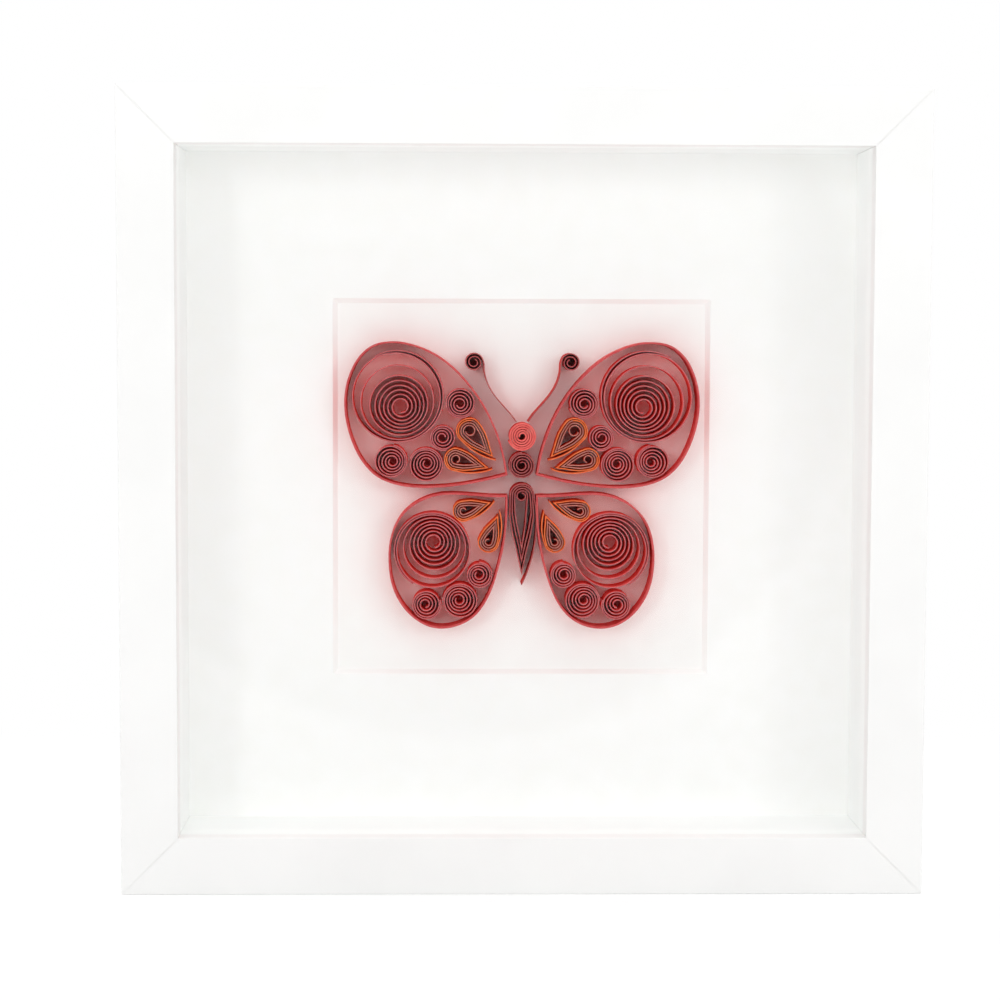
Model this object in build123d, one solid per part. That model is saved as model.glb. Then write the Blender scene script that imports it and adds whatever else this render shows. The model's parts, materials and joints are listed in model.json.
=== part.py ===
"""Box-framed paper quilling: a white mitred shadow-box frame with glazing, spacers, a bevelled mat and a card
that carries a butterfly made of edge-standing paper strips.

Millimetres. +Z up, front of the frame towards -Y, origin under the middle of the frame's box.
"""

import math
import os
from collections import namedtuple

from build123d import *

os.makedirs("parts", exist_ok=True)

# Frame moulding
FRAME_SIZE = 250.0  # outer width and height
FRAME_DEPTH = 45.0
FACE_WIDTH = 17.7  # front face of the moulding, outer edge to sight edge
RAIL_WALL = 9.0  # side wall of the moulding behind its lip
LIP_DEPTH = 6.0  # thickness of the lip that the glazing rests on
FACE_ROUND = 0.35  # eased front edges of the moulding
MITRE_EASE = 0.22  # fine groove where two mitred faces meet at the front

# Sheets that drop into the rebate from behind
SHEET_PLAY = 1.0  # round each sheet
GLAZING = 2.0
MAT = 1.5
CARD = 1.0
BACKING = 2.5
REAR_RECESS = 4.0  # depth left behind the backing board
WINDOW = 118.8  # opening of the mat at the foot of its bevel
MAT_BEVEL = 45  # degrees

# Spacers between the glazing and the mat
SPACER_SETBACK = 0.4  # spacer face behind the lip's sight edge
SPACER_PLAY = 0.3  # between a spacer and the rail wall
SPACER_END_PLAY = 0.4  # at each end of a short spacer, between the long ones

# Sheet-steel tabs that hold the backing board
TAB_SHEET = 0.5
TAB_WIDTH = 8.0
TAB_BITE = 5.0  # length pressed into the rail
TAB_REACH = 11.0  # length standing out of the rail
TAB_TIP = 2.5  # clipped corners of the tab
TAB_END_DISTANCE = 62.0  # from a rail's outer end to the middle of its tab

# Corner nails pressed into the back of each mitre
NAIL_SHEET = 0.8
NAIL_LEG = 4.4
NAIL_DEPTH = 8.0
NAIL_INSET = 3.4  # from the frame's outer faces

# Sawtooth hanger on the backing board
HANGER_LENGTH = 58.0
HANGER_HEIGHT = 11.0
HANGER_SHEET = 0.8
HANGER_EAR = 9.0
HANGER_RAMP = 3.0
HANGER_BACK_PLAY = 0.9  # between the hanger and the wall that the frame hangs on
HANGER_DROP = 34.0  # from the top of the frame to the hanger's upper edge
TOOTH_PITCH = 3.0
TOOTH_DEPTH = 2.0
TOOTH_COUNT = 11
PRONG_WIDTH = 5.0  # bent ends of the hanger that grip the board
PRONG_PLAY = 0.1

# Quilled paper
PAPER = 0.35
RIM_PAPER = 0.6  # two layers glued together
HEAD_PAPER = 0.5
STRIP_HEIGHT = 10.0
GLUE_LINE = 0.1  # between a closed ring and the turn under it
CHORD_SAG = 0.36  # how far a straight facet may leave the paper's true curve
FEWEST_FACETS = 6  # in the tightest turn
DROP_PITCH = 0.78  # spacing of the nested loops at the round end of a pinched coil
TIP_PITCH = 0.54  # spacing of the same loops where they are pinched
BODY_GAP = 0.3  # between the head and an antenna
FIGURE_MARGIN = 3.4  # between the figure's sides and the foot of the mat's bevel
OVERRUN = 2.0  # cutters run past what they cut

# Places worked out from the sizes above
front = -FRAME_DEPTH / 2
rear = FRAME_DEPTH / 2
middle = FRAME_SIZE / 2
spacer_depth = FRAME_DEPTH - LIP_DEPTH - GLAZING - MAT - CARD - BACKING - REAR_RECESS
glazing_front = front + LIP_DEPTH
spacer_front = glazing_front + GLAZING
mat_front = spacer_front + spacer_depth
card_front = mat_front + MAT
backing_front = card_front + CARD
backing_rear = backing_front + BACKING
rebate = FRAME_SIZE - 2 * RAIL_WALL
sheet_size = rebate - 2 * SHEET_PLAY
figure_width = WINDOW - 2 * FIGURE_MARGIN

facing = (0, -1, 0)
card_plane = Plane((0, card_front, middle), x_dir=(1, 0, 0), z_dir=facing)
axis_through_middle = Axis((0, 0, middle), (0, 1, 0))


def slab(width, height, near, thickness):
    """A sheet across the frame, its front face at y = near."""
    return Pos(0, near + thickness / 2, middle) * Box(width, thickness, height)


# Moulding: one rail lies along the bottom, and the others are turned copies


def rail_section():
    """Lip and wall of the moulding, looking along the bottom rail."""
    lip_back = front + LIP_DEPTH
    outline = Polyline(
        (front, 0),
        (rear, 0),
        (rear, RAIL_WALL),
        (lip_back, RAIL_WALL),
        (lip_back, FACE_WIDTH),
        (front, FACE_WIDTH),
        close=True,
    )
    section = make_face(outline)
    eased = section.vertices().group_by(Axis.X)[0]
    return fillet(eased, FACE_ROUND)


def mitred(half_length, depth, height, at):
    """A bar with 45 degree ends, its long side at z = 0."""
    short = half_length - height
    outline = Polyline((-half_length, 0), (half_length, 0), (short, height), (-short, height), close=True)
    stand = Plane((0, at, 0), x_dir=(1, 0, 0), z_dir=facing)
    return extrude(stand * make_face(outline), amount=-depth, dir=facing)


def plain_rail():
    """The bottom rail before its slots are cut."""
    along = Plane((-middle, 0, 0), x_dir=(0, 1, 0), z_dir=(1, 0, 0))
    bar = extrude(along * rail_section(), amount=FRAME_SIZE)
    body = bar & mitred(middle, FRAME_DEPTH, FACE_WIDTH, front)
    mitre_length = FACE_WIDTH * math.sqrt(2)
    groove = Box(2 * MITRE_EASE, 2 * MITRE_EASE, 2 * (mitre_length + OVERRUN))
    for side in (-1, 1):
        body -= Pos(side * middle, front, 0) * Rot(0, side * -45, 0) * groove
    return body


def tab(place):
    """A retaining tab at x = place: one end in the rail, the other over the backing board."""
    length = TAB_BITE + TAB_REACH
    blank = Rectangle(TAB_WIDTH, length, align=(Align.CENTER, Align.MIN))
    blank = chamfer(blank.vertices().group_by(Axis.Y)[-1], TAB_TIP)
    stand = Plane((place, backing_rear, RAIL_WALL - TAB_BITE), x_dir=(1, 0, 0), z_dir=facing)
    return extrude(stand * blank, amount=TAB_SHEET, dir=(0, 1, 0))


def corner_nail():
    """An angle of sheet steel that ties the lower left mitre from behind, flush with the frame's back."""
    heel = NAIL_INSET
    inner = heel + NAIL_SHEET
    end = heel + NAIL_LEG
    outline = Polyline(
        (heel, heel), (end, heel), (end, inner), (inner, inner), (inner, end), (heel, end), close=True
    )
    stand = Plane((-middle, rear, 0), x_dir=(1, 0, 0), z_dir=facing)
    return extrude(stand * make_face(outline), amount=NAIL_DEPTH, dir=facing)


def around(shape):
    """The shape and its copies on the other three sides of the frame."""
    return [shape.rotate(axis_through_middle, turn) for turn in (0, 90, 180, 270)]


tab_places = (TAB_END_DISTANCE - middle, middle - TAB_END_DISTANCE)
tabs = [copy for place in tab_places for copy in around(tab(place))]
nails = around(corner_nail())

rail = plain_rail()
for place in tab_places:
    rail -= tab(place)
for nail in nails:
    rail -= nail
rails = dict(zip(("rail_bottom", "rail_left", "rail_top", "rail_right"), around(rail)))

# Spacers: two long ones across, two short ones between them

spacer_outer = rebate - 2 * SPACER_PLAY
spacer_inner = FRAME_SIZE - 2 * FACE_WIDTH + 2 * SPACER_SETBACK
spacer_wall = (spacer_outer - spacer_inner) / 2
spacer_middle = (spacer_outer - spacer_wall) / 2
long_spacer = Box(spacer_outer, spacer_depth, spacer_wall)
short_spacer = Box(spacer_wall, spacer_depth, spacer_inner - 2 * SPACER_END_PLAY)
spacer_at = spacer_front + spacer_depth / 2
spacers = {
    "spacer_top": Pos(0, spacer_at, middle + spacer_middle) * long_spacer,
    "spacer_bottom": Pos(0, spacer_at, middle - spacer_middle) * long_spacer,
    "spacer_left": Pos(-spacer_middle, spacer_at, middle) * short_spacer,
    "spacer_right": Pos(spacer_middle, spacer_at, middle) * short_spacer,
}

# Sheets


def mat_board():
    """The mat, its window cut with a bevel that opens towards the front."""
    window = card_plane * Rectangle(WINDOW, WINDOW)
    opening = extrude(window, amount=MAT, taper=-MAT_BEVEL)
    return slab(sheet_size, sheet_size, mat_front, MAT) - opening


hanger_top = FRAME_SIZE - HANGER_DROP
hanger_rise = REAR_RECESS - HANGER_BACK_PLAY - HANGER_SHEET
prong_at = (HANGER_LENGTH - HANGER_SHEET) / 2
prong_places = (-prong_at, prong_at)


def prong(place, play=0.0):
    """A bent end of the hanger, flush with the board's front; with play, the slot that it sits in."""
    length = BACKING + HANGER_SHEET
    shape = Box(HANGER_SHEET + 2 * play, length, PRONG_WIDTH + 2 * play)
    return Pos(place, backing_front + length / 2, hanger_top - HANGER_HEIGHT / 2) * shape


def hanger():
    """A pressed steel strip: flat ears on the board and a raised bridge with teeth along its lower edge."""
    half = HANGER_LENGTH / 2
    ear = half - HANGER_EAR
    top = ear - HANGER_RAMP
    skin = HANGER_SHEET
    rise = hanger_rise
    strip_section = make_face(
        Polyline(
            (-half, 0), (-ear, 0), (-top, rise), (top, rise), (ear, 0), (half, 0),
            (half, skin), (ear, skin), (top, rise + skin), (-top, rise + skin), (-ear, skin), (-half, skin),
            close=True,
        )
    )
    bed = Plane((0, backing_rear, hanger_top), x_dir=(1, 0, 0), z_dir=(0, 0, 1))
    bridge = extrude(bed * strip_section, amount=HANGER_HEIGHT, dir=(0, 0, -1))
    notch = make_face(Polyline((-TOOTH_PITCH / 2, 0), (TOOTH_PITCH / 2, 0), (0, TOOTH_DEPTH), close=True))
    foot = hanger_top - HANGER_HEIGHT
    for count in range(TOOTH_COUNT):
        across = (count - (TOOTH_COUNT - 1) / 2) * TOOTH_PITCH
        stand = Plane((across, backing_rear, foot), x_dir=(1, 0, 0), z_dir=(0, 1, 0))
        bridge -= extrude(stand * mirror(notch, Plane.XZ), amount=REAR_RECESS, dir=(0, 1, 0))
    for place in prong_places:
        bridge += prong(place)
    return bridge


board = slab(sheet_size, sheet_size, backing_front, BACKING)
for place in prong_places:
    board -= prong(place, PRONG_PLAY)

# Quilled paper: centre lines are worked out point by point in the plane of the card


def sides(line, thickness, closed):
    """The two edges of a strip that follows a centre line, mitred at each fold."""
    count = len(line)
    left, right = [], []
    for i, (x, y) in enumerate(line):
        before = line[i - 1] if i or closed else None
        after = line[(i + 1) % count] if i < count - 1 or closed else None
        ways = []
        for a, b in ((before, (x, y)), ((x, y), after)):
            if a and b:
                run = math.dist(a, b)
                ways.append(((b[0] - a[0]) / run, (b[1] - a[1]) / run))
        way_x = sum(w[0] for w in ways)
        way_y = sum(w[1] for w in ways)
        size = math.hypot(way_x, way_y)
        normal = (-way_y / size, way_x / size)
        lean = normal[0] * -ways[0][1] + normal[1] * ways[0][0]
        reach = thickness / 2 / lean
        left.append((x + normal[0] * reach, y + normal[1] * reach))
        right.append((x - normal[0] * reach, y - normal[1] * reach))
    return left, right


def wall(line, thickness, closed=False):
    """A paper strip standing on its edge on the card."""
    left, right = sides(line, thickness, closed)
    if closed:
        loops = sorted((Polyline(*edge, close=True) for edge in (left, right)), key=lambda loop: -loop.length)
        face = make_face(loops[0]) - make_face(loops[1])
    else:
        face = make_face(Polyline(*left, *reversed(right), close=True))
    return extrude(card_plane * face, amount=STRIP_HEIGHT, dir=facing)


def facets(radius):
    """How many straight facets a full turn of this radius takes."""
    return max(FEWEST_FACETS, math.ceil(math.pi / math.acos(1 - CHORD_SAG / radius)))


Coil = namedtuple("Coil", "across up radius hole off_centre turns loose core lean start")


def coil_line(shape, thickness):
    """A coil from its glued end inwards: a closed ring, loose turns, then an even spiral off centre."""
    outer = shape.radius * figure_width - thickness / 2
    under = outer - thickness - GLUE_LINE
    core = shape.core * shape.radius * figure_width
    hole = shape.hole * shape.radius * figure_width
    drift = shape.off_centre * shape.radius * figure_width
    lean = math.radians(shape.lean)
    even_from = 1 + shape.loose
    even_turns = shape.turns - even_from

    def radius_at(turn):
        if turn <= 1:
            return outer + (under - outer) * turn
        if turn <= even_from:
            return under + (core - under) * (turn - 1) / shape.loose
        return core + (hole - core) * (turn - even_from) / even_turns

    tight = (core - hole) / even_turns - thickness < CHORD_SAG
    marks = []
    for turn in range(math.ceil(shape.turns)):
        count = facets(core if tight else radius_at(max(turn - 1, 0) if turn < 2 else turn))
        marks += [turn + step / count for step in range(count)]
    marks = [mark for mark in marks if mark < shape.turns] + [shape.turns]
    line = []
    for mark in marks:
        radius = radius_at(mark)
        offset = drift * (1 - (radius / under) ** 3) if mark > 1 else 0
        angle = math.radians(shape.start) + 2 * math.pi * mark
        line.append(
            (
                shape.across * figure_width + offset * math.cos(lean) + radius * math.cos(angle),
                shape.up * figure_width + offset * math.sin(lean) + radius * math.sin(angle),
            )
        )
    return line


Drop = namedtuple("Drop", "across up length radius heading loops turns")


def drop_line(shape, thickness):
    """A coil pinched to a point: loops that lie close at the tip and fan out from it, then a round coil."""
    outer = shape.radius * figure_width - thickness / 2
    throat = (shape.length - shape.radius) * figure_width
    slope = outer / throat
    tip_reach = throat - thickness / 2 / slope
    heading = math.radians(shape.heading)
    across = shape.across * figure_width + throat * math.cos(heading)
    up = shape.up * figure_width + throat * math.sin(heading)
    lap = thickness + GLUE_LINE

    def inset(turn):
        return lap * turn if turn <= 1 else lap + DROP_PITCH * (turn - 1)

    def reach_at(turn):
        return tip_reach - TIP_PITCH / slope * turn

    line = []
    total = shape.loops + shape.turns
    for turn in range(math.ceil(total)):
        radius = outer - inset(turn)
        if turn < shape.loops:
            flank = math.acos(radius / reach_at(turn))
            bend = 2 * math.pi - 2 * flank
            count = max(3, math.ceil(facets(outer) * bend / (2 * math.pi)))
            marks = [0] + [(flank + bend * step / count) / (2 * math.pi) for step in range(count + 1)]
        else:
            count = facets(radius)
            marks = [step / count for step in range(count)]
        for mark in marks:
            if turn + mark > total:
                break
            radius = outer - inset(turn + mark)
            reach = max(reach_at(turn + mark), radius)
            pinched = turn + mark <= shape.loops
            flank = math.acos(radius / reach) if pinched else 0
            from_tip = abs((2 * math.pi * mark + math.pi) % (2 * math.pi) - math.pi)
            distance = radius / math.cos(max(0, flank - from_tip))
            angle = heading + math.pi + 2 * math.pi * mark
            line.append((across + distance * math.cos(angle), up + distance * math.sin(angle)))
    return line


def through(points, count, tangents=None):
    """Evenly spaced points of a smooth curve through the given ones."""
    curve = Spline(*points, tangents=tangents)
    return [tuple(curve @ (step / count))[:2] for step in range(count + 1)]


def mirrored(line):
    return [(-x, y) for x, y in line]


# Places and sizes are shares of the figure's width, on its right half; holes and drift are shares of the coil
upper_rim_shares = (
    (0.0435, 0.042), (0.077, 0.170), (0.166, 0.314), (0.300, 0.406), (0.430, 0.405),
    (0.4972, 0.304), (0.491, 0.158), (0.414, 0.038), (0.277, 0.006), (0.147, 0.018),
)
lower_rim_shares = (
    (0.0435, -0.020), (0.143, -0.016), (0.259, -0.021), (0.347, -0.081), (0.379, -0.201),
    (0.345, -0.328), (0.250, -0.397), (0.141, -0.368), (0.075, -0.250), (0.047, -0.116),
)
RIM_FACETS = 26
wing_coil_shares = {
    "upper_large_coil": Coil(0.3560, 0.2635, 0.1330, 0.125, 0.23, 8.6, 2, 0.62, 250, 60),
    "upper_tip_coil": Coil(0.3752, 0.0794, 0.0480, 0.19, 0.10, 4.85, 1, 0.70, 200, 100),
    "upper_trailing_coil": Coil(0.2745, 0.0691, 0.0500, 0.18, 0.08, 5.1, 1, 0.71, 120, 20),
    "upper_leading_coil": Coil(0.1760, 0.2456, 0.0440, 0.21, 0.08, 4.4, 1, 0.69, 300, 200),
    "upper_inner_coil": Coil(0.2260, 0.1465, 0.0375, 0.24, 0.06, 3.8, 1, 0.64, 30, 250),
    "lower_large_coil": Coil(0.2556, -0.1769, 0.1110, 0.14, 0.22, 7.9, 2, 0.63, 100, 300),
    "lower_end_coil": Coil(0.1756, -0.3216, 0.0510, 0.18, 0.09, 5.1, 1, 0.71, 30, 0),
    "lower_side_coil": Coil(0.2723, -0.3333, 0.0430, 0.21, 0.08, 4.3, 1, 0.68, 30, 160),
    "lower_inner_coil": Coil(0.1208, -0.2475, 0.0380, 0.24, 0.07, 3.9, 1, 0.65, 30, 90),
}
wing_drop_shares = {
    "upper_leading_drop": Drop(0.072, 0.080, 0.156, 0.0400, 48, 3, 1.4),
    "upper_trailing_drop": Drop(0.080, 0.056, 0.148, 0.0360, 15, 3, 1.2),
    "lower_leading_drop": Drop(0.074, -0.034, 0.130, 0.0330, -17, 3, 1.1),
    "lower_trailing_drop": Drop(0.062, -0.060, 0.130, 0.0330, -70, 3, 1.1),
}
thorax_share = Coil(0, 0.068, 0.0385, 0.22, 0, 4.1, 1, 0.67, 0, 90)
head_share = Coil(0, 0.151, 0.0420, 0.18, 0, 5.0, 1, 0.67, 0, 200)
abdomen_share = Drop(0, -0.286, 0.304, 0.0385, 90, 3, 1.5)
scroll_share = Coil(0.138, 0.362, 0.0290, 0.30, 0, 2.2, 0, 0, 0, 180)
ANTENNA_FACETS = 8
ANTENNA_ROOT_ANGLE = 68  # degrees round the head
ANTENNA_ROOT_HEADING = 238


def antenna_line():
    """A scroll whose paper runs on in a long bow to the head."""
    outer = scroll_share.radius * figure_width - PAPER / 2
    hole = scroll_share.hole * outer
    middle_x = scroll_share.across * figure_width
    middle_y = scroll_share.up * figure_width
    scroll = []
    count = math.ceil(facets(outer) * scroll_share.turns)
    for step in range(count + 1):
        part = step / count
        radius = hole + (outer - hole) * part
        angle = math.radians(scroll_share.start) + 2 * math.pi * scroll_share.turns * (part - 1)
        scroll.append((middle_x + radius * math.cos(angle), middle_y + radius * math.sin(angle)))
    root_angle = math.radians(ANTENNA_ROOT_ANGLE)
    root_reach = head_share.radius * figure_width + BODY_GAP
    root = (
        root_reach * math.cos(root_angle),
        head_share.up * figure_width + root_reach * math.sin(root_angle),
    )
    heading = math.radians(ANTENNA_ROOT_HEADING)
    bow = through([scroll[-1], root], ANTENNA_FACETS, [(0, -1), (math.cos(heading), math.sin(heading))])
    return scroll + bow[1:]


def rim_line(shares):
    """A closed wing outline, pinched where the wing meets the body."""
    points = [(across * figure_width, up * figure_width) for across, up in shares]
    return through([*points, points[0]], RIM_FACETS)[:-1]


halves = {
    "upper_wing_rim": (rim_line(upper_rim_shares), RIM_PAPER, True),
    "lower_wing_rim": (rim_line(lower_rim_shares), RIM_PAPER, True),
    "antenna": (antenna_line(), PAPER, False),
}
halves |= {name: (coil_line(shape, PAPER), PAPER, False) for name, shape in wing_coil_shares.items()}
halves |= {name: (drop_line(shape, PAPER), PAPER, False) for name, shape in wing_drop_shares.items()}

figure = {
    "head_coil": wall(coil_line(head_share, HEAD_PAPER), HEAD_PAPER),
    "thorax_coil": wall(coil_line(thorax_share, PAPER), PAPER),
    "abdomen_drop": wall(drop_line(abdomen_share, PAPER), PAPER),
}
for name, (line, thickness, closed) in halves.items():
    figure[f"{name}_right"] = wall(line, thickness, closed)
    figure[f"{name}_left"] = wall(mirrored(line), thickness, closed)

nodes = {
    **rails,
    **spacers,
    **figure,
    "glazing": slab(sheet_size, sheet_size, glazing_front, GLAZING),
    "mat_board": mat_board(),
    "art_card": slab(sheet_size, sheet_size, card_front, CARD),
    "backing_board": board,
    "retaining_tabs": Compound(children=tabs),
    "corner_nails": Compound(children=nails),
    "hanger": hanger(),
}
for name, shape in nodes.items():
    export_step(shape, f"parts/{name}.step")
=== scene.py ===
"""Looks of a quilled paper picture in a white box frame: paint, glass, board, steel and rolled paper strips."""

import json
import math

import bmesh
import bpy
from mathutils import Matrix, Vector, geometry, noise


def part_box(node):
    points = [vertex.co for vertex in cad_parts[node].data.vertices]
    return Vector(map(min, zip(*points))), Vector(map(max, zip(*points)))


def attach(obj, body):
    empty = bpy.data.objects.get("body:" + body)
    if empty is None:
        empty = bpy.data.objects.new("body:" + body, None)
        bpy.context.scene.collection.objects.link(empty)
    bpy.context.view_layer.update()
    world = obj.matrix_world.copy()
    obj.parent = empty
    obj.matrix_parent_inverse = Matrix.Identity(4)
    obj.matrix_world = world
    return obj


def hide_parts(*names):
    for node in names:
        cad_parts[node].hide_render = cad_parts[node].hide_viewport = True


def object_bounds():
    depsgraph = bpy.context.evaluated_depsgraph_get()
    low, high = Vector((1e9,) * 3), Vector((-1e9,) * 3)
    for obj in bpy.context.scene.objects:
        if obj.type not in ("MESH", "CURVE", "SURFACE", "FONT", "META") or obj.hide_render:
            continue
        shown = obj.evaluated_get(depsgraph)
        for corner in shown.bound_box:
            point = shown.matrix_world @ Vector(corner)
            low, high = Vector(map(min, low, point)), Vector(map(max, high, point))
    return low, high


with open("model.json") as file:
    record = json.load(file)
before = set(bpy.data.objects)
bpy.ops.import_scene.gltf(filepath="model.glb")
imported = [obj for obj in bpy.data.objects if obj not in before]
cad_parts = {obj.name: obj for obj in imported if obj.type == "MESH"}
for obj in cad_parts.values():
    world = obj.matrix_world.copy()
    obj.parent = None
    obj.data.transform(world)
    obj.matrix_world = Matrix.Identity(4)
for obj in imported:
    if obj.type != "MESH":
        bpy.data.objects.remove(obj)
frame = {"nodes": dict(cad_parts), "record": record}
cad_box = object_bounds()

MM = 0.001
FRONT_FACING = -0.9  # least y of a normal that looks towards the front
MERGE = 0.001 * MM  # corners nearer than this are one

# Patterns: a noise lies mostly between two levels, and what follows it is spread from one to the other
CLOUD_LEVELS = (0.35, 0.65)
GRAIN_LEVELS = (0.3, 0.7)
ROLLED_OUT = 0.08  # how fast rolled steel's pattern changes along its lines, where it is 1 across them
WAVE_TURN = 20  # radians that a wave texture turns in a unit

# Rolled paper
FOLD = math.radians(80)  # a sharper turn is a crease, and a softer one is a curve
CURVE_STEP = math.radians(5)
LAYER_GAP = 0.015 * MM  # hairline between two glued layers
WAVER = 0.07 * MM  # how far hand-rolled paper strays from its line
WAVER_LENGTH = 9 * MM
WAVER_SEED = 5  # any but 0, which would take the clock's time and roll the paper differently in each run
EDGE_DIP = 0.16 * MM  # how far a strip's top edge sinks here and there
EDGE_DIP_LENGTH = 6 * MM
GLUED_LAYERS = {"crimson_strip": 2}
OUTER_SHARE = 0.50  # of the length of a strip, from its outer end, that keeps its first tone; where its slot has one, the inner rest is given a darker tone
CUT_EDGE = 1  # places among a strip's materials, where its side is 0
# place of the darker tone given to the inner part of a strip's length
INNER_SIDE = 2

# Foam strips of the box's sides, a little long, so that they are squeezed in
PRESSED_IN = 0.25 * MM  # more length at each end than the CAD solid has
SIDE_STRIPS = ("spacer_left", "spacer_right")

# Floor
FLOOR_SIZE = 6.0
FOOT_FLOOR = 8 * MM  # the strip of floor along the frame's foot
FOOT_WHITE = 0.0  # how much of the floor is plain white to the eye, there and a little further out
FLOOR_WHITE = 0.8
NEAR_FLOOR = 0.05  # from here to there the rest turns plain white too
FAR_FLOOR = 0.25

# Light by direction
FILL = 0.78
FRONT = 0.84
FRONT_LIGHT = Vector((0, -1, -0.02)).normalized()
FRONT_CONE = math.radians(45)
OVERHEAD = 1.25  # mostly for the floor, which sends it on to the upper half of the box
OVERHEAD_CONE = math.radians(50)
TENT = 0.35  # what the glass mirrors of the white tent in front
TENT_EDGE = (-0.1, 0.3)  # it comes in between these cosines of the angle to the front
OPENING = math.radians(10)  # half the angle of the dark opening that the camera looks through
OPENING_BLUR = 0.0012  # half the width of its edge, as a difference of cosines
OPENING_LEVEL = 0.03  # the part of the light that is left in it

# Lamps
LAMP_TURNS = {"left_soft_box": math.radians(-28), "right_soft_box": math.radians(38)}
LAMP_RISE = math.radians(12)
LAMP_DISTANCE = 1.6
LAMP_WIDTH = 0.22
LAMP_HEIGHT = 0.4
LAMP_POWER = 1.6

# The camera stands a little left of the middle and above it
CAMERA_OFFSET = Vector((-21.46, -699.92, 47.62)) * MM  # from the middle of the frame's front
CAMERA_TILT = math.radians(-4.02)
CAMERA_TURN = math.radians(-1.14)
CAMERA_ROLL = math.radians(0.20)
CAMERA_LENS = 81.9
CAMERA_SENSOR = 36.0

nodes = frame["nodes"]
slot_of = {part["node"]: part["material_slot"] for part in frame["record"]["subparts"]}
low, high = cad_box
middle = (low + high) / 2


# Materials


def linear(hex_code):
    """A colour written as sRGB hex, as the linear numbers that shaders take."""
    parts = [int(hex_code[at:at + 2], 16) / 255 for at in (1, 3, 5)]
    return [p / 12.92 if p <= 0.04045 else ((p + 0.055) / 1.055) ** 2.4 for p in parts] + [1.0]


def add(tree, kind, sockets=(), **settings):
    """A node with its settings made, and each named socket linked or given its value."""
    node = tree.nodes.new("ShaderNode" + kind)
    for name, value in settings.items():
        setattr(node, name, value)
    for name, value in dict(sockets).items():
        if isinstance(value, bpy.types.NodeSocket):
            tree.links.new(value, node.inputs[name])
        else:
            node.inputs[name].default_value = value
    return node


def material(name):
    """A new material with an empty node tree."""
    made = bpy.data.materials.new(name)
    made.use_nodes = True
    made.node_tree.nodes.clear()
    return made, made.node_tree


def grained(name, tones, cloud, grain, depth, gloss=None, stretch=(1, 1, 1), **sockets):
    """A surface clouded between two tones, with a fine grain in relief that may also vary its gloss.

    Cloud and grain are a size in metres, the detail and the roughness of a noise, and depth is in metres.
    """
    made, tree = material(name)
    place = add(tree, "TexCoord").outputs["Object"]
    laid = add(tree, "Mapping", {"Vector": place, "Scale": stretch}).outputs["Vector"]
    noises = []
    for vector, (size, detail, roughness) in ((place, cloud), (laid, grain)):
        pattern = {"Vector": vector, "Scale": 1 / size, "Detail": detail, "Roughness": roughness}
        noises.append(add(tree, "TexNoise", pattern).outputs["Fac"])
    tone, height = noises
    start, end = CLOUD_LEVELS
    share = add(tree, "MapRange", {"Value": tone, "From Min": start, "From Max": end}).outputs["Result"]
    dark, light = tones
    colour = add(tree, "Mix", {0: share, 6: linear(dark), 7: linear(light)}, data_type="RGBA").outputs[2]
    sockets["Base Color"] = colour
    sockets["Normal"] = add(tree, "Bump", {"Height": height, "Distance": depth}).outputs["Normal"]
    if gloss:
        start, end = GRAIN_LEVELS
        spread = {"Value": height, "From Min": start, "From Max": end, "To Min": gloss[0], "To Max": gloss[1]}
        sockets["Roughness"] = add(tree, "MapRange", spread).outputs["Result"]
    surface = add(tree, "BsdfPrincipled", sockets).outputs[0]
    add(tree, "OutputMaterial", {"Surface": surface})
    return made


def sprayed_lacquer():
    """Satin lacquer sprayed on fibreboard: an even white with a soft gloss and a faint orange peel."""
    tones = ("#EFEFEE", "#F2F2F1")
    cloud, peel = (38 * MM, 2, 0.55), (1.4 * MM, 2, 0.55)
    sockets = {"Specular IOR Level": 0.35}
    return grained("white_satin_lacquer", tones, cloud, peel, 0.012 * MM, (0.34, 0.42), **sockets)


def foam_board():
    """Paper-faced foam board: dead flat white with a dry, even tooth, drawn coarse enough to show."""
    tones = ("#F9FBFA", "#FBFDFC")
    cloud, tooth = (14 * MM, 3, 0.55), (0.35 * MM, 3, 0.55)
    sockets = {"Roughness": 0.8, "Specular IOR Level": 0.3}
    return grained("white_foam_board", tones, cloud, tooth, 0.015 * MM, **sockets)


def museum_board(name, *tones):
    """Pressed cotton board: an off-white sheet with a felt of fibres, drawn coarse enough to show."""
    cloud, felt = (6 * MM, 4, 0.55), (0.45 * MM, 5, 0.65)
    sockets = {"Roughness": 0.88, "Specular IOR Level": 0.25}
    return grained(name, tones, cloud, felt, 0.03 * MM, **sockets)


def zinc_plated_steel(name, *tones, drawn_along):
    """Rolled steel with a thin bright zinc plating: cool grey metal with rolling lines, drawn coarse enough to show."""
    cloud, lines = (3 * MM, 3, 0.55), (0.22 * MM, 3, 0.55)
    stretch = [ROLLED_OUT if axis == drawn_along else 1.0 for axis in "XYZ"]
    return grained(name, tones, cloud, lines, 0.006 * MM, (0.26, 0.42), stretch, Metallic=1.0)


def dyed_paper(name, *tones):
    """Dyed uncoated paper: matte and slightly cloudy, with short fibres that show as a tooth, drawn coarse."""
    cloud, fibres = (1.8 * MM, 4, 0.55), (0.22 * MM, 4, 0.6)
    sockets = {"Roughness": 0.9, "Specular IOR Level": 0.04}
    return grained(name, tones, cloud, fibres, 0.02 * MM, **sockets)


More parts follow.
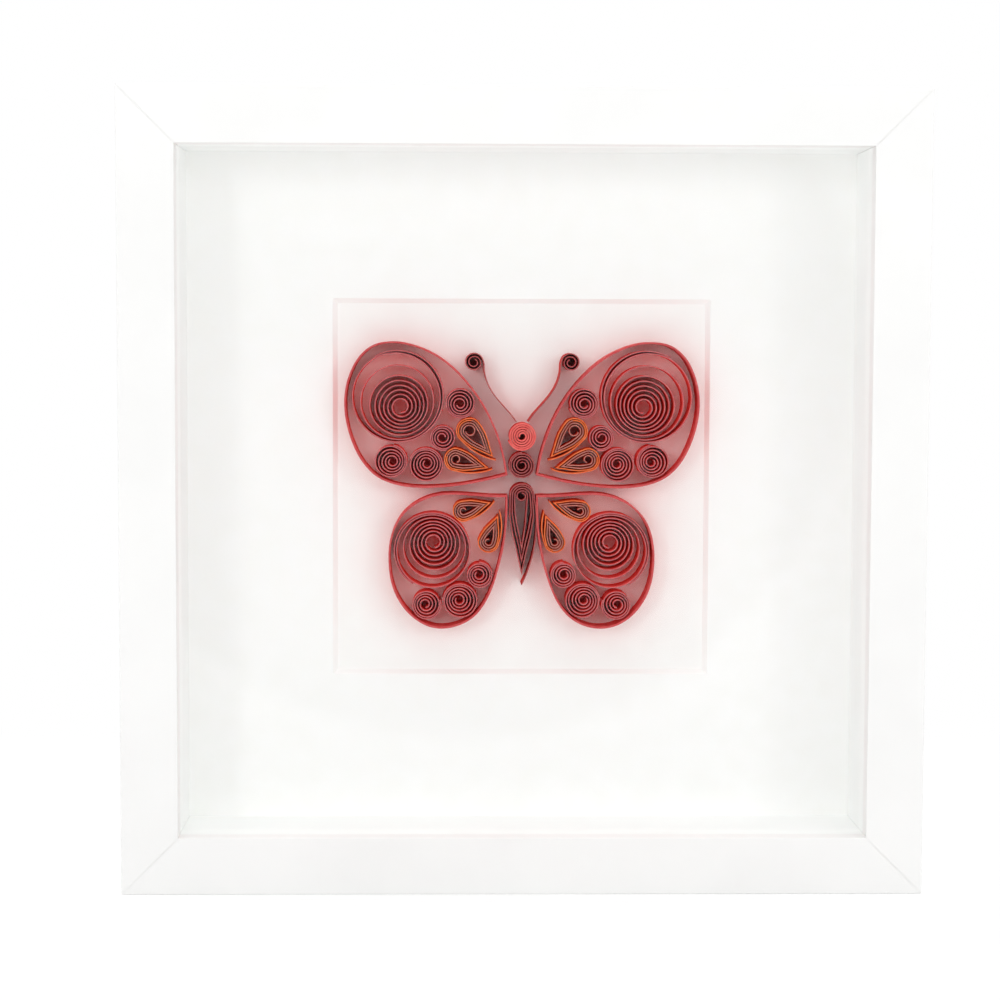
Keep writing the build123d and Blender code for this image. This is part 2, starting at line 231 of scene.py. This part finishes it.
def screen_backed_hardboard():
    """Hardboard: brown pressed fibre, its back printed by the wire screen it was pressed on."""
    made, tree = material("screen_backed_hardboard")
    place = add(tree, "TexCoord").outputs["Object"]
    pitch = 1.6 * MM  # from wire to wire
    bands = {"Vector": place, "Scale": math.tau / WAVE_TURN / pitch, "Distortion": 0.6}
    weave = [add(tree, "TexWave", bands, bands_direction=way) for way in ("X", "Z")]
    both = add(tree, "Math", {0: weave[0].outputs["Fac"], 1: weave[1].outputs["Fac"]}, operation="MULTIPLY")
    pattern = {"Vector": place, "Scale": 1 / (1.1 * MM), "Detail": 6, "Roughness": 0.7}
    flakes = add(tree, "TexNoise", pattern).outputs["Fac"]
    start, end = GRAIN_LEVELS
    share = add(tree, "MapRange", {"Value": flakes, "From Min": start, "From Max": end}).outputs["Result"]
    fibre = add(tree, "Mix", {0: share, 6: linear("#5F4229"), 7: linear("#8A6544")}, data_type="RGBA")
    print_of_screen = add(tree, "Bump", {"Height": both.outputs[0], "Distance": 0.12 * MM})
    sockets = {
        "Base Color": fibre.outputs[2],
        "Roughness": 0.72,
        "Normal": print_of_screen.outputs["Normal"],
        "Specular IOR Level": 0.35,
    }
    board = add(tree, "BsdfPrincipled", sockets).outputs[0]
    add(tree, "OutputMaterial", {"Surface": board})
    return made


def window_glass():
    """Clear float glass: a thin mirror on what it covers. Lamps and scattered light pass it unbent."""
    made, tree = material("clear_float_glass")
    sockets = {"Roughness": 0.0, "IOR": 1.5, "Transmission Weight": 1.0, "Base Color": linear("#FDFEFE")}
    glass = add(tree, "BsdfPrincipled", sockets).outputs[0]
    open_air = add(tree, "BsdfTransparent").outputs[0]
    path = add(tree, "LightPath").outputs
    passing = add(tree, "Math", {0: path["Is Shadow Ray"], 1: path["Is Diffuse Ray"]}, operation="MAXIMUM")
    mix = add(tree, "MixShader", {0: passing.outputs[0], 1: glass, 2: open_air}).outputs[0]
    add(tree, "OutputMaterial", {"Surface": mix})
    return made


PAPERS = {
    # slot: name, side dark and light, cut edge dark and light
    "rose_strip": ("rose_quilling_paper", "#F0605A", "#F66E68", "#B85E62", "#C87070"),
    "crimson_strip": ("crimson_quilling_paper", "#E05A58", "#EA6A68", "#C44C50", "#D05E5E"),
    "burgundy_strip": ("burgundy_quilling_paper", "#C83A38", "#D44844", "#A44C4E", "#B45E5C"),
    "orange_strip": ("orange_quilling_paper", "#EC6630", "#F4763C", "#E86638", "#F27C4C"),
    "coral_strip": ("coral_quilling_paper", "#E8524C", "#F06058", "#EC605C", "#F4746E"),
}
DARKER_INNER_TONES = {
    # slot: the same, for the darker tone given to the inner part of the strip's length
    "orange_strip": ("orange_strip_darker_inner", "#D8462C", "#E2543A", "#B4685E", "#C67A6E"),
}


def side_and_edge(name, side_dark, side_light, edge_dark, edge_light):
    """The two finishes of a strip of paper: its dyed side and its paler cut edge."""
    return dyed_paper(name, side_dark, side_light), dyed_paper(name + "_cut_edge", edge_dark, edge_light)


papers = {slot: side_and_edge(*tones) for slot, tones in PAPERS.items()}
darker_inner_tones = {slot: side_and_edge(*tones) for slot, tones in DARKER_INNER_TONES.items()}
finishes = {
    "white_paint": sprayed_lacquer(),
    "white_foam_strip": foam_board(),
    "glazing": window_glass(),
    "mat_board": museum_board("cotton_mat_board", "#FBFBF9", "#FDFDFC"),
    "art_card": museum_board("cotton_art_card", "#FAF9F7", "#FCFCFA"),
    "hardboard": screen_backed_hardboard(),
    "tab_steel": zinc_plated_steel("zinc_plated_tab_steel", "#B9BBBD", "#CDCFD0", drawn_along="X"),
    "nail_steel": zinc_plated_steel("bright_nail_steel", "#A4A6A8", "#BFC1C2", drawn_along="Y"),
    "hanger_steel": zinc_plated_steel("zinc_plated_hanger_steel", "#BDBBB4", "#D3D1CA", drawn_along="X"),
}


# Pieces


def placed(name, data):
    """A new object of the scene."""
    made = bpy.data.objects.new(name, data)
    bpy.context.scene.collection.objects.link(made)
    return made


def mesh_of(name, body, materials):
    """The mesh of a finished bmesh, with its materials."""
    mesh = bpy.data.meshes.new(name)
    body.to_mesh(mesh)
    body.free()
    for finish in materials:
        mesh.materials.append(finish)
    return mesh


def stand_for(piece, node):
    """Puts a piece in the place of its CAD node."""
    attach(piece, "root")
    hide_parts(node)


def merged_copy(node):
    """A bmesh of a CAD node with its loose triangles joined."""
    body = bmesh.new()
    body.from_mesh(nodes[node].data)
    bmesh.ops.remove_doubles(body, verts=body.verts, dist=MERGE)
    return body


def pressed_in(node):
    """A side strip of the box lining, long enough for a hairline joint at each end."""
    body = merged_copy(node)
    half_way = sum(corner.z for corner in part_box(node)) / 2
    for vert in body.verts:
        vert.co.z += math.copysign(PRESSED_IN, vert.co.z - half_way)
    name = node + "_foam"
    stand_for(placed(name, mesh_of(name, body, [finishes[slot_of[node]]])), node)


# Strips of paper: each is drawn again as a smooth curve through the corners of its CAD solid


def front_outlines(node):
    """The outlines of a strip's front edge, each as its corners in order."""
    solid = merged_copy(node)
    solid.normal_update()
    in_order = [face for face in solid.faces if face.normal.y < FRONT_FACING]
    front = set(in_order)
    following = {}
    for face in in_order:
        for corner in face.loops:
            if not any(other in front for other in corner.edge.link_faces if other is not face):
                following[corner.vert] = corner.link_loop_next.vert
    outlines = []
    while following:
        at = next(iter(following))
        outline = []
        while at in following:
            outline.append(at.co.copy())
            at = following.pop(at)
        outlines.append(outline)
    solid.free()
    return outlines


def paper_line(node):
    """The middle of a strip's paper from end to end, its thickness, and whether its ends meet."""
    outlines = front_outlines(node)
    closed = len(outlines) == 2
    if closed:
        outer, inner = outlines
        pairs = [(corner, min(inner, key=lambda other: (other - corner).length)) for corner in outer]
    else:
        ring = outlines[0]
        count = len(ring)

        def faced(start):
            """Each corner of one side with the one that faces it, if the paper's end is at this corner."""
            return [(ring[(start + at) % count], ring[start - 1 - at]) for at in range(count // 2)]

        pairs = min(map(faced, range(count)), key=lambda tried: sum((a - b).length for a, b in tried))
    thickness = min((a - b).length for a, b in pairs)
    return [(a + b) / 2 for a, b in pairs], thickness, closed


def smooth_line(corners, closed):
    """A line through all the corners that is round where it turns gently and sharp where it is creased."""
    count = len(corners)
    spans = [(corners[(at + 1) % count] - corners[at]) for at in range(count if closed else count - 1)]
    ways = []
    for at in range(count):
        before = spans[at - 1] if at or closed else None
        after = spans[at] if at < len(spans) else None
        if before is None or after is None:
            ways.append(None)
        elif before.angle(after) > FOLD:
            ways.append((before.normalized(), after.normalized()))
        else:
            way = (before / before.length_squared + after / after.length_squared).normalized()
            ways.append((way, way))
    if not closed:
        for end, neighbour, span in ((0, 1, spans[0]), (-1, -2, spans[-1])):
            along = span.normalized()
            near = ways[neighbour][0 if end == 0 else 1]
            turned = 2 * along.dot(near) * along - near
            ways[end] = (turned, turned)
    line = []
    for at, span in enumerate(spans):
        leave, reach = ways[at][1], ways[(at + 1) % count][0]
        bend = (leave.angle(span) + reach.angle(span)) / 2
        handle = span.length * 2 / 3 / (1 + math.cos(bend))  # bends the span as an arc of a circle
        steps = max(2, math.ceil(2 * bend / CURVE_STEP))
        here, there = corners[at], corners[(at + 1) % count]
        arc = geometry.interpolate_bezier(here, here + leave * handle, there - reach * handle, there, steps + 1)
        line += arc[:-1]
    return line if closed else [*line, corners[-1]]


def aside(line, closed, offset):
    """The line moved sideways in the plane of the card."""
    moved = []
    for at, point in enumerate(line):
        before = line[at - 1] if at or closed else point
        after = line[(at + 1) % len(line)] if at < len(line) - 1 or closed else point
        way = (after - before).normalized()
        moved.append(point + Vector((-way.z, 0, way.x)) * offset)
    return moved


def by_hand(point):
    """A point of the line where a hand would have put it."""
    sway = noise.noise_vector(point / WAVER_LENGTH)
    return point + Vector((sway.x, 0, sway.z)) * WAVER


def darken_inner_part(track, edges):
    """Gives the inner part of a strip's length its darker tone."""
    centre = sum(track, Vector()) / len(track)
    outer_first = (track[0] - centre).length > (track[-1] - centre).length
    spans = [(after - before).length for before, after in zip(track, track[1:])]
    joint = sum(spans) * (OUTER_SHARE if outer_first else 1 - OUTER_SHARE)
    gone = 0
    for edge, span in zip(edges, spans):
        gone += span
        if (gone > joint) == outer_first:
            for face in edge.link_faces:
                face.material_index = INNER_SIDE


def paper_strip(node):
    """A strip of quilling paper that stands on its edge, in as many glued layers as its slot says."""
    slot = slot_of[node]
    layers = GLUED_LAYERS.get(slot, 1)
    corners, thickness, closed = paper_line(node)
    foot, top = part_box(node)[1].y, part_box(node)[0].y
    line = [by_hand(point) for point in smooth_line(corners, closed)]
    pitch = thickness / layers
    ribbon = bmesh.new()
    for layer in range(layers):
        track = aside(line, closed, (layer - (layers - 1) / 2) * pitch) if layers > 1 else line
        stand = [ribbon.verts.new((point.x, foot, point.z)) for point in track]
        following = stand[1:] + stand[:1] if closed else stand[1:]
        edges = [ribbon.edges.new(pair) for pair in zip(stand, following)]
        raised = bmesh.ops.extrude_edge_only(ribbon, edges=edges)["geom"]
        # the inner part of the strip's length is given a darker tone where the slot has one
        if slot in darker_inner_tones:
            darken_inner_part(track, edges)
        for vert in raised:
            if isinstance(vert, bmesh.types.BMVert):
                dip = noise.noise(vert.co / EDGE_DIP_LENGTH) + 1
                vert.co.y = top + dip / 2 * EDGE_DIP
    for edge in ribbon.edges:
        edge.smooth = len(edge.link_faces) == 2 and edge.calc_face_angle(0) < FOLD
    for face in ribbon.faces:
        face.smooth = True
    name = node + "_paper"
    strip = placed(name, mesh_of(name, ribbon, (*papers[slot], *darker_inner_tones.get(slot, ()))))
    wall = strip.modifiers.new("thickness", "SOLIDIFY")
    wall.thickness = pitch - (LAYER_GAP if layers > 1 else 0)
    wall.offset = 0
    wall.use_even_offset = True
    wall.material_offset_rim = CUT_EDGE
    stand_for(strip, node)


noise.seed_set(WAVER_SEED)
for node, slot in slot_of.items():
    if slot in papers:
        paper_strip(node)
    elif node in SIDE_STRIPS:
        pressed_in(node)
    else:
        nodes[node].data.materials.clear()
        nodes[node].data.materials.append(finishes[slot])


# Floor, light and camera


def looked_at(tree):
    """One where the camera looks straight at a surface or sees it in gloss or glass, and nothing elsewhere."""
    path = add(tree, "LightPath").outputs
    seen = path["Is Camera Ray"]
    for kind in ("Is Glossy Ray", "Is Transmission Ray"):
        seen = add(tree, "Math", {0: seen, 1: path[kind]}, operation="MAXIMUM").outputs[0]
    return seen


def glossy_white():
    """White melamine under the frame: a faint mirror image and a shadow, fading to plain white further out."""
    made, tree = material("white_melamine")
    sockets = {"Base Color": linear("#FFFFFF"), "Roughness": 0.16, "Specular IOR Level": 0.5}
    top = add(tree, "BsdfPrincipled", sockets).outputs[0]
    place = add(tree, "TexCoord").outputs["Object"]
    one_side = add(tree, "VectorMath", {0: place}, operation="ABSOLUTE").outputs[0]
    past = add(tree, "VectorMath", {0: one_side, 1: (high.x, high.y, 0)}, operation="SUBTRACT").outputs[0]
    apart = add(tree, "SeparateXYZ", {0: past}).outputs
    away = add(tree, "Math", {0: apart["X"], 1: apart["Y"]}, operation="MAXIMUM").outputs[0]
    spread = {"Value": away, "From Min": 0, "From Max": FOOT_FLOOR, "To Min": FOOT_WHITE, "To Max": FLOOR_WHITE}
    foot = add(tree, "MapRange", spread).outputs["Result"]
    spread = {"Value": away, "From Min": NEAR_FLOOR, "From Max": FAR_FLOOR, "To Min": 0, "To Max": 1}
    further = add(tree, "MapRange", spread, interpolation_type="SMOOTHSTEP").outputs["Result"]
    share = add(tree, "Math", {0: foot, 1: further}, operation="MAXIMUM").outputs[0]
    seen = add(tree, "Math", {0: share, 1: looked_at(tree)}, operation="MULTIPLY").outputs[0]
    white = add(tree, "Emission", {"Color": (1, 1, 1, 1), "Strength": 1.0}).outputs[0]
    floor = add(tree, "MixShader", {0: seen, 1: top, 2: white}).outputs[0]
    clear = add(tree, "BsdfTransparent").outputs[0]
    mirrored = add(tree, "LightPath").outputs["Is Glossy Ray"]
    surface = add(tree, "MixShader", {0: mirrored, 1: floor, 2: clear}).outputs[0]
    add(tree, "OutputMaterial", {"Surface": surface})
    return made


def lay_floor():
    """The sheet that the frame stands on."""
    flat = bmesh.new()
    bmesh.ops.create_grid(flat, x_segments=1, y_segments=1, size=0.5)
    bmesh.ops.scale(flat, verts=flat.verts, vec=(FLOOR_SIZE, FLOOR_SIZE, 1))
    bmesh.ops.translate(flat, verts=flat.verts, vec=(0, 0, low.z))
    placed("floor", mesh_of("floor", flat, [glossy_white()]))


def hang_soft_box(name, turn):
    """A rectangular soft box that looks at the middle of the frame, turned from straight in front of it."""
    data = bpy.data.lights.new(name, "AREA")
    data.shape = "RECTANGLE"
    data.size = LAMP_WIDTH
    data.size_y = LAMP_HEIGHT
    data.energy = LAMP_POWER
    level = math.cos(LAMP_RISE)
    way = Vector((math.sin(turn) * level, -math.cos(turn) * level, math.sin(LAMP_RISE)))
    lamp = placed(name, data)
    lamp.location = middle + way * LAMP_DISTANCE
    lamp.rotation_euler = (-way).to_track_quat("-Z", "Y").to_euler()


def surround():
    """Soft light from all round, more from the front and overhead, and hardly any from the camera's opening."""
    world = bpy.data.worlds.new("white_studio")
    bpy.context.scene.world = world
    world.use_nodes = True
    tree = world.node_tree
    tree.nodes.clear()
    way = add(tree, "TexCoord").outputs["Generated"]

    def step(target, start, end, first, last):
        """A level that changes with the angle to a direction, between two cosines."""
        nearness = add(tree, "VectorMath", {0: way, 1: target}, operation="DOT_PRODUCT").outputs["Value"]
        sockets = {"Value": nearness, "From Min": start, "From Max": end, "To Min": first, "To Max": last}
        return add(tree, "MapRange", sockets, interpolation_type="SMOOTHSTEP").outputs["Result"]

    edge = math.cos(OPENING)
    opening = step((0, -1, 0), edge - OPENING_BLUR, edge + OPENING_BLUR, 1, OPENING_LEVEL)
    front = step(FRONT_LIGHT, math.cos(FRONT_CONE), 1, FILL, FILL + FRONT)
    overhead = step((0, 0, 1), math.cos(OVERHEAD_CONE), 1, 0, OVERHEAD)
    both = add(tree, "Math", {0: front, 1: overhead}, operation="ADD").outputs[0]
    light = add(tree, "Math", {0: both, 1: opening}, operation="MULTIPLY").outputs[0]
    walls = step((0, -1, 0), *TENT_EDGE, 1, TENT)
    mirrored = add(tree, "Math", {0: walls, 1: opening}, operation="MULTIPLY").outputs[0]
    glossy = add(tree, "LightPath").outputs["Is Glossy Ray"]
    level = add(tree, "Mix", {0: glossy, 2: 1.0, 3: mirrored}, data_type="FLOAT").outputs[0]
    lit = add(tree, "Background", {"Color": (1, 1, 1, 1), "Strength": light}).outputs[0]
    seen = add(tree, "Background", {"Color": (1, 1, 1, 1), "Strength": level}).outputs[0]
    mix = add(tree, "MixShader", {0: looked_at(tree), 1: lit, 2: seen}).outputs[0]
    add(tree, "OutputWorld", {"Surface": mix})


lay_floor()
surround()
for name, turn in LAMP_TURNS.items():
    hang_soft_box(name, turn)

scene = bpy.context.scene
lens = bpy.data.cameras.new("camera")
lens.sensor_width = CAMERA_SENSOR
lens.lens = CAMERA_LENS
scene.camera = placed("camera", lens)
scene.camera.matrix_world = (
    Matrix.Translation(Vector((middle.x, low.y, middle.z)) + CAMERA_OFFSET)
    @ Matrix.Rotation(math.radians(90), 4, "X")
    @ Matrix.Rotation(CAMERA_TURN, 4, "Y")
    @ Matrix.Rotation(CAMERA_TILT, 4, "X")
    @ Matrix.Rotation(CAMERA_ROLL, 4, "Z")
)
scene.view_settings.view_transform = "Standard"

# Light goes many times from wall to wall in a white box and between strips of paper
scene.cycles.max_bounces = 16
scene.cycles.diffuse_bounces = 10
